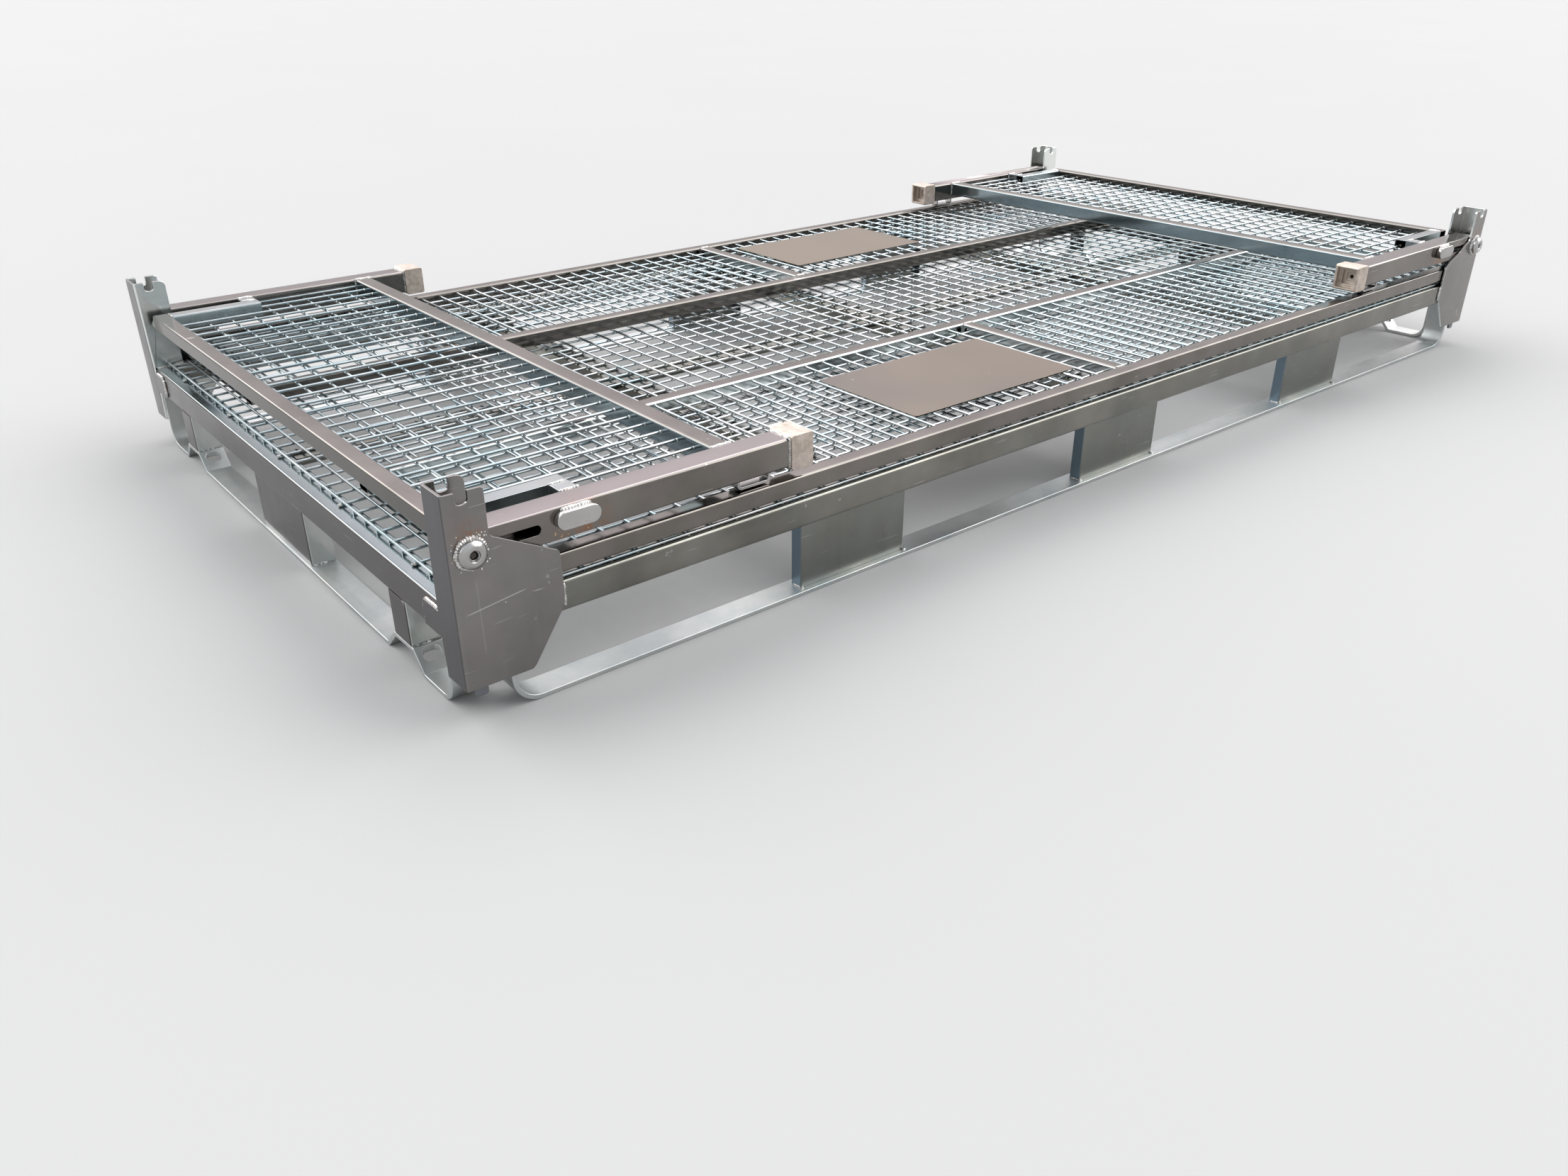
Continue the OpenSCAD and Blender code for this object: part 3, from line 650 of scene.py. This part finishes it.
# ---- sizes read from the frame ----
pin_lo, pin_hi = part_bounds("pivot_pins_left")
pivot_x = HALF_L + (pin_lo.x + pin_hi.x) / 2
pivot_z = (pin_lo.z + pin_hi.z) / 2
pin_r = (pin_hi.z - pin_lo.z) / 2
post_reach = inward_x("post_front_left", True)
plate = inward_y("long_rail_front")
rail_lo, rail_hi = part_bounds("long_rail_front")
end_lo, end_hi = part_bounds("end_rail_left")
wall_lo, wall_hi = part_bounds("endwall_left_uprights")
wall_out = HALF_W + wall_lo.y
wall_in = wall_out + wall_hi.z - wall_lo.z
cap_x = inward_x("endwall_left_caps")
top_x = inward_x("endwall_left_top_rail"), inward_x("endwall_left_top_rail", True)
top_depth = wall_hi.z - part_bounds("endwall_left_top_rail")[0].z
low_x = inward_x("endwall_left_low_rail"), inward_x("endwall_left_low_rail", True)
low_s = low_x[1] - low_x[0]
low_y = HALF_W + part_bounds("endwall_left_low_rail")[0].y
stub_x = inward_x("endwall_left_stubs", True)
lug_x = inward_x("endwall_left_lugs"), inward_x("endwall_left_lugs", True)
lug_lo, lug_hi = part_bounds("endwall_left_lugs")
rest_x = inward_x("endwall_left_rests"), inward_x("endwall_left_rests", True)
rest_y = HALF_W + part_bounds("endwall_left_rests")[0].y
side_lo, side_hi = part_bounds("sidewall_front_outer_rail")
inner_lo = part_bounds("sidewall_front_inner_rail")[0]
side_s = side_hi.z - side_lo.z
foot_lo, foot_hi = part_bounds("foot_blocks_front")
skid_top = foot_lo.z
block_out, block_in = inward_y("foot_blocks_front"), inward_y("foot_blocks_front", True)
block_w = 2 * (foot_hi.x - BLOCK_PITCH)
end_block_lo, end_block_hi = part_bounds("end_blocks_left")
corner_block_y = end_block_hi.y - CORNER_BLOCK_W / 2

# ---- finishes by node ----
lug_stain = ((HALF_L - lug_x[0] - 40 * MM, HALF_W - wall_out, lug_lo.z - 4 * MM), 45 * MM, 0.6)
pin_stain = ((HALF_L - pivot_x, HALF_W, pivot_z + pin_r + 3 * MM), 26 * MM, 0.45)
WELD = weld_metal("weld_bead", (0.34, 0.33, 0.32), (0.64, 0.63, 0.61), 0.45)
SPATTER = weld_metal("weld_spatter", (0.40, 0.28, 0.14), (0.62, 0.48, 0.30), 0.8)
WIRE = bright_wire()
CAST = cast_steel()
SHEET = plated_sheet()
for end in ENDS:
    for side in SIDES:
        refine(f"post_{side}_{end}", zinc("plate", Z, [pin_stain]), bend=4.0 * MM,
               edge=0.7 * MM, pick=fold_edges)
    refine(f"pivot_pins_{end}", zinc("pin", Y), edge=1.4 * MM)
    refine(f"end_rail_{end}", zinc("end_rail", Y), bend=3.4 * MM)
    refine(f"end_skid_{end}", zinc("skid", Y), edge=0.8 * MM)
    refine(f"end_blocks_{end}", zinc("end_block", Z), bend=2.2 * MM, pick=block_edges(X))
    refine(f"endwall_{end}_uprights", zinc("upright", X, [lug_stain]), bend=4.0 * MM)
    refine(f"endwall_{end}_caps", CAST, bend=4 * MM, edge=0.9 * MM)
    refine(f"endwall_{end}_top_rail", zinc("top_rail", Y), bend=3.8 * MM)
    refine(f"endwall_{end}_low_rail", zinc("tube", Y), bend=3.2 * MM)
    refine(f"endwall_{end}_stubs", zinc("stub", X), bend=3.2 * MM)
    refine(f"endwall_{end}_lugs", zinc("pin", X), edge=1.5 * MM)
    refine(f"endwall_{end}_rests", zinc("pin", X), edge=0.7 * MM)
for side in SIDES:
    refine(f"long_rail_{side}", zinc("rail", X), bend=4.5 * MM)
    refine(f"long_skid_{side}", zinc("skid", X), edge=0.8 * MM)
    refine(f"foot_blocks_{side}", zinc("block", Z), bend=2.2 * MM, pick=block_edges(Y))
    refine(f"sidewall_{side}_outer_rail", zinc("tube", X), bend=3.4 * MM)
    refine(f"sidewall_{side}_inner_rail", zinc("inner_rail", X), bend=3.4 * MM)
    refine(f"sidewall_{side}_stiles", zinc("stile", Y), bend=3.4 * MM)
    refine(f"sidewall_{side}_label", SHEET, bend=5 * MM, bend_axis=Z, edge=0.3 * MM)
    refine(f"sidewall_{side}_pivots", zinc("dull", X), edge=0.4 * MM)
refine("floor_bearers", zinc("rail", Y), bend=2.7 * MM)
refine("floor_stringers", zinc("rail", X), edge=0.8 * MM)
refine("stack_tongues", zinc("dull", Z), edge=0.6 * MM)
refine("hinge_ears", zinc("dull", Z), edge=0.5 * MM)
for name, node in NODES.items():
    if "mesh" in name:
        node.data.materials.clear()
        node.data.materials.append(WIRE)


# ---- welds ----
def seam(bm, place, points, radius, seed):
    """A bead along points that place turns into vectors."""
    add_bead(bm, [place(*p) for p in points], radius, seed)


def pin_ring(bm, end, side, seed):
    """The bead round a pin head on the post, with spatter."""
    rng = random.Random(seed)
    ring, count = pin_r + 0.5 * MM, 36
    points = []
    for k in range(count):
        a = 2 * math.pi * k / count
        r = ring + rng.uniform(-0.5, 0.6) * MM
        points.append(corner(end, side, pivot_x + r * math.cos(a), -0.6 * MM,
                             pivot_z + r * math.sin(a)))
    add_bead(bm, points, radius=3.1 * MM, seed=seed, closed=True)
    for _ in range(20):
        a, r = rng.uniform(0, 2 * math.pi), ring + rng.uniform(3, 10) * MM
        x, z = pivot_x + r * math.cos(a), pivot_z + r * math.sin(a)
        if 3 * MM < x < POST_S - 2 * MM or z < pivot_z - 6 * MM:
            add_blob(bm, corner(end, side, max(x, 3 * MM), 0, z),
                     rng.uniform(0.5, 1.3) * MM, (1, 0.7, 1))


def base_welds(bm):
    """Welds of the posts, rails, skids, blocks and floor wires."""
    seed = 11
    for end in ENDS:
        for side in SIDES:
            def at(x, y, z):
                return corner(end, side, x, y, z)
            seed += 7
            pin_ring(bm, end, side, seed)
            seam(bm, at, [(post_reach + 0.6 * MM, plate - 1 * MM, rail_lo.z + 8 * MM),
                          (post_reach + 0.8 * MM, plate - 1 * MM, rail_hi.z - 2 * MM)],
                 radius=2.3 * MM, seed=seed + 1)
            seam(bm, at, [(plate - 1 * MM, POST_S + 5 * MM, TAB_TOP + 0.5 * MM),
                          (plate - 1 * MM, TAB_Y - 5 * MM, TAB_TOP + 0.5 * MM),
                          (plate - 1 * MM, TAB_Y, TAB_TOP - 5 * MM),
                          (plate - 1 * MM, TAB_Y + 0.3 * MM, TAB_LOW + 3 * MM)],
                 radius=2.6 * MM, seed=seed + 2)
            seam(bm, at, [(post_reach - 60 * MM, plate, rail_lo.z - 1 * MM),
                          (post_reach - 28 * MM, plate, rail_lo.z - 1 * MM)],
                 radius=2 * MM, seed=seed + 3)
            seam(bm, at, [(plate + 2 * MM, POST_S + 1 * MM, end_hi.z),
                          (end_hi.x + HALF_L - 3 * MM, POST_S + 1 * MM, end_hi.z)],
                 radius=1.8 * MM, seed=seed + 4)
            seam(bm, at, [(LEG_X, plate + 2 * MM, rail_lo.z),
                          (LEG_X, plate + 36 * MM, rail_lo.z)], radius=2.2 * MM, seed=seed + 5)
            seam(bm, at, [(plate + 2 * MM, END_LEG_Y, end_lo.z),
                          (plate + 32 * MM, END_LEG_Y, end_lo.z)], radius=2.0 * MM, seed=seed + 6)
    block_welds(bm, seed)
    wire_spots(bm)


def block_welds(bm, seed):
    """Short fillets where the foot blocks stand on the skids and under the rails."""
    corner_foot = end_block_lo.z + CORNER_RISE
    end_blocks = ((0, block_w, skid_top),
                  (corner_block_y, CORNER_BLOCK_W, corner_foot),
                  (-corner_block_y, CORNER_BLOCK_W, corner_foot))
    for sign in SIDES.values():
        for block in (-1, 0, 1):
            mid = block * (foot_hi.x - block_w / 2)
            for edge in (-1, 1):
                x = mid + edge * block_w / 2
                for z in (skid_top, rail_lo.z):
                    seed += 1
                    points = [Vector((x, sign * (HALF_W - y), z))
                              for y in (block_out - 1 * MM, block_in - 3 * MM)]
                    add_bead(bm, points, radius=2.0 * MM, seed=seed)
                add_blob(bm, Vector((x, sign * (HALF_W - block_out + 1 * MM), skid_top + 1 * MM)),
                         4.0 * MM, (1.1, 0.9, 0.8))
    for sign in ENDS.values():
        for mid, width, foot in end_blocks:
            for edge in (-1, 1):
                y = mid + edge * width / 2
                for z in (foot, end_lo.z):
                    seed += 1
                    points = [Vector((sign * (HALF_L - d), y, z)) for d in (11 * MM, 30 * MM)]
                    add_bead(bm, points, radius=1.9 * MM, seed=seed)


def wire_spots(bm):
    """Spot welds of the floor wires along the end rails, the rim wires and the bearers."""
    rng = random.Random(5)
    end_spot_in, rim_spot_in = 22 * MM, 13.5 * MM
    large_every, large, small = 6, 3.3 * MM, 1.2 * MM
    z = end_hi.z + 2.5 * MM
    rows = int((HALF_W - 2 * POST_S) / PITCH)
    for sign in ENDS.values():
        for k in range(-rows, rows + 1):
            x = HALF_L - end_spot_in - rng.uniform(-1, 1) * MM
            add_blob(bm, Vector((sign * x, k * PITCH, z)), small if k % large_every else large,
                     (1.2, 1.0, 0.8))
    cols = int((HALF_L - POST_S) / PITCH - 0.5)
    for side in SIDES.values():
        for k in range(cols + 1):
            for end in ENDS.values():
                at = Vector((end * (k + 0.5) * PITCH, side * (HALF_W - rim_spot_in), z + 1 * MM))
                add_blob(bm, at, rng.uniform(1.8, 2.6) * MM, (1.0, 1.3, 0.8))
    for bearer in (-1, 0, 1):
        for k in range(-rows, rows + 1, 2):
            x = bearer * BLOCK_PITCH + rng.uniform(-14, 14) * MM
            at = Vector((x, k * PITCH + 2 * MM, end_hi.z + 0.8 * MM))
            add_blob(bm, at, 2.2 * MM, (1.3, 1, 0.7))


def end_wall_welds(end):
    """Welds of one end wall's frame, caps, lugs, rests and wires."""
    def fill(bm):
        seed = 100 + 10 * (ENDS[end] + 1)
        top, bead = wall_hi.z - 0.3 * MM, 2.0 * MM
        for side in SIDES:
            def at(x, y, z):
                return corner(end, side, x, y, z)
            seed += 50
            low = wall_hi.z - top_depth + 2 * MM
            seam(bm, at, [(top_x[0], wall_in, low), (top_x[0], wall_in, top),
                          (top_x[1], wall_in, top), (top_x[1], wall_in, low)], bead, seed)
            seam(bm, at, [(stub_x - low_s, wall_in, top), (stub_x, wall_in, top),
                          (stub_x + 0.3 * MM, wall_in, top - 18 * MM)], radius=bead, seed=seed + 1)
            seam(bm, at, [(stub_x - low_s, low_y, top), (stub_x - 3 * MM, low_y, top)],
                 radius=bead, seed=seed + 2)
            seam(bm, at, [(low_x[1], low_y + 1 * MM, top), (low_x[1], low_y + low_s, top)],
                 radius=bead, seed=seed + 3)
            c, s = (wall_out + wall_in) / 2, (wall_in - wall_out) / 2
            ring = [(cap_x - 0.8 * MM, c + a * s, pivot_z + b * s)
                    for a, b in ((-0.9, 1), (0.9, 1), (1, 0.9), (1, -0.9),
                                 (0.9, -1), (-0.9, -1), (-1, -0.9), (-1, 0.9))]
            add_bead(bm, [at(*p) for p in ring], radius=2.1 * MM, seed=seed + 4, closed=True)
            seam(bm, at, [(lug_x[0] + 9 * MM, wall_out - 0.4 * MM, lug_hi.z - 0.2 * MM),
                          (lug_x[1] - 9 * MM, wall_out - 0.4 * MM, lug_hi.z - 0.2 * MM)],
                 radius=2.6 * MM, seed=seed + 5)
            for x in (rest_x[0] + 2 * MM, rest_x[1] - 2 * MM):
                seam(bm, at, [(x, rest_y + 1 * MM, wall_lo.z), (x, rest_y + 19 * MM, wall_lo.z)],
                     radius=1.9 * MM, seed=seed + 7)
        rng = random.Random(seed)
        rows = int((HALF_W - wall_in) / PITCH)
        z = pivot_z + 8 * MM
        for k in range(-rows, rows + 1):
            start = stub_x if abs(k * PITCH) > HALF_W - low_y - low_s - WIRE_D else low_x[1]
            for x in (start, top_x[0]):
                add_blob(bm, Vector((ENDS[end] * (HALF_L - x), k * PITCH, z)),
                         rng.uniform(2.4, 3.1) * MM, (0.8, 1.2, 1))
    return fill


def lug_spatter(end):
    """Small golden beads thrown below the weld of each lug."""
    def fill(bm):
        rng = random.Random(41 + ENDS[end])
        for side in SIDES:
            for _ in range(14):
                x = rng.uniform(lug_x[0] - 6 * MM, lug_x[1] - 14 * MM)
                z = lug_lo.z - rng.uniform(-1, 10) * MM
                add_blob(bm, corner(end, side, x, wall_out, z), rng.uniform(0.4, 1.1) * MM,
                         (1.3, 0.6, 0.9))
    return fill


def side_wall_welds(side):
    """Welds of one side wall's rails, stiles and wires."""
    def fill(bm):
        sign, seed = SIDES[side], 300 + 10 * SIDES[side]
        top = side_hi.z - 0.2 * MM
        outer_y, inner_y = HALF_W + side_hi.y, HALF_W + inner_lo.y
        end_x = side_hi.x
        for x0, x1 in ((-end_x, side_s - end_x), (-side_s / 2, side_s / 2),
                       (end_x - side_s, end_x)):
            for y in (outer_y, inner_y):
                seed += 1
                points = [Vector((x, sign * (HALF_W - y), top))
                          for x in (x0 + 1 * MM, x1 - 1 * MM)]
                add_bead(bm, points, radius=1.7 * MM, seed=seed)
        rng = random.Random(seed)
        cols = int((end_x - side_s * 1.5) / PITCH)
        z = side_hi.z - 6 * MM
        for k in range(1, cols + 1):
            for turn in (-1, 1):
                for y in (outer_y, inner_y):
                    x = turn * (side_s / 2 + k * PITCH)
                    add_blob(bm, Vector((x, sign * (HALF_W - y), z)),
                             rng.uniform(2.2, 2.9) * MM, (1.1, 0.8, 1))
    return fill


weld_piece("base_welds", "base", base_welds)
for end in ENDS:
    weld_piece(f"end_wall_{end}_welds", f"end_wall_{end}", end_wall_welds(end))
    weld_piece(f"end_wall_{end}_spatter", f"end_wall_{end}", lug_spatter(end), SPATTER)
for side in SIDES:
    weld_piece(f"side_wall_{side}_welds", f"side_wall_{side}", side_wall_welds(side))


# ---- floor, light and camera ----
FLOOR_REACH = 40.0
FLOOR_DROP = 0.2 * MM               # keeps the floor clear of the skids' faces
FLOOR_COLORS = ((0.345, 0.342, 0.338), (0.357, 0.354, 0.350))
PINK_SIDE = (0.633, 0.774, 0)       # the way to the warm part of the sky
PANEL_LIGHT = (4.4, 4.4, 4.4)
HORIZON, ZENITH = (0.84, 0.84, 0.84), (1.0, 1.06, 1.12)
OFF, ON = (0, 0, 0), (1, 1, 1)
# Sky colours by height, from the horizon (0) to the zenith (1).
BEHIND = ((0.0, HORIZON), (0.12, (0.66, 0.63, 0.625)), (0.26, (0.86, 0.81, 0.81)),
          (0.50, (2.1, 1.95, 2.05)), (0.70, (1.9, 1.9, 1.98)), (1.0, ZENITH))
AHEAD = ((0.0, HORIZON), (0.35, (0.90, 0.93, 0.97)), (1.0, ZENITH))
# Where the panels are on: around the object (1 is the warm side) and by height.
PANELS_AROUND = ((0.30, OFF), (0.36, ON), (0.86, ON), (0.93, OFF))
PANELS_HEIGHT = ((0.20, OFF), (0.32, ON), (0.84, ON), (0.92, OFF))
KEY_ENERGY = 0.6
KEY_SOFTNESS = math.radians(35)
KEY_AIM = (-0.5, -0.6, -1.0)
SENSOR, LENS = 36.0, 28.29          # millimetres
EYE_PLACE = (-1.6668, -1.7420, 0.7958)
EYE_ANGLES = (39.29, -27.72, 0.17)  # azimuth, elevation and roll in degrees


def pale_floor():
    mesh = bpy.data.meshes.new("floor")
    reach = FLOOR_REACH
    mesh.from_pydata([(-reach, -reach, 0), (reach, -reach, 0), (reach, reach, 0),
                      (-reach, reach, 0)], [], [(0, 1, 2, 3)])
    s = Shader("pale_floor")
    s.finish(s.mix(s.noise(0.8, detail=2), *FLOOR_COLORS), 0.8,
             s.bump(s.noise(40.0, detail=2), 0.02, 1 * MM), metallic=0.0)
    mesh.materials.append(s.material)
    floor = bpy.data.objects.new("floor", mesh)
    floor.location.z = -FLOOR_DROP
    bpy.context.scene.collection.objects.link(floor)


def studio_sky():
    """A soft tent, warm and bright halfway up behind the object, with a panel at each side."""
    world = bpy.data.worlds.new("studio")
    bpy.context.scene.world = world
    world.use_nodes = True
    s = Graph(world.node_tree)
    direction = s.node("TexCoord").outputs["Generated"]
    height = s.node("SeparateXYZ", Vector=direction).outputs[Z]
    level = s.vector("NORMALIZE", s.vector("MULTIPLY", direction, (1, 1, 0))["Vector"])["Vector"]
    around = s.span(s.vector("DOT_PRODUCT", level, PINK_SIDE)["Value"], -1, 1)
    warm = s.ramp(around, ((0.4, OFF), (0.6, ON)))
    tent = s.mix(warm, s.ramp(height, AHEAD), s.ramp(height, BEHIND))
    panel = s.math("MULTIPLY", s.ramp(around, PANELS_AROUND), s.ramp(height, PANELS_HEIGHT))
    s.feed(s.tree.nodes["Background"].inputs[0], s.mix(panel, tent, PANEL_LIGHT))


def key_light():
    """A wide soft light from behind, the same all over the floor."""
    data = bpy.data.lights.new("key", "SUN")
    data.energy = KEY_ENERGY
    data.angle = KEY_SOFTNESS
    light = bpy.data.objects.new("key", data)
    light.rotation_euler = Vector(KEY_AIM).to_track_quat("-Z", "Y").to_euler()
    bpy.context.scene.collection.objects.link(light)


def camera():
    """A wide lens near the front left corner, looking down."""
    data = bpy.data.cameras.new("camera")
    data.sensor_width = SENSOR
    data.lens = LENS
    azimuth, elevation, roll = (math.radians(a) for a in EYE_ANGLES)
    eye = bpy.data.objects.new("camera", data)
    turn = Matrix.Rotation(-azimuth, 4, "Z") @ Matrix.Rotation(math.pi / 2 + elevation, 4, "X")
    turn = turn @ Matrix.Rotation(-roll, 4, "Z")
    eye.matrix_world = Matrix.Translation(EYE_PLACE) @ turn
    bpy.context.scene.collection.objects.link(eye)
    bpy.context.scene.camera = eye


pale_floor()
studio_sky()
key_light()
camera()
bpy.context.scene.view_settings.view_transform = "Standard"
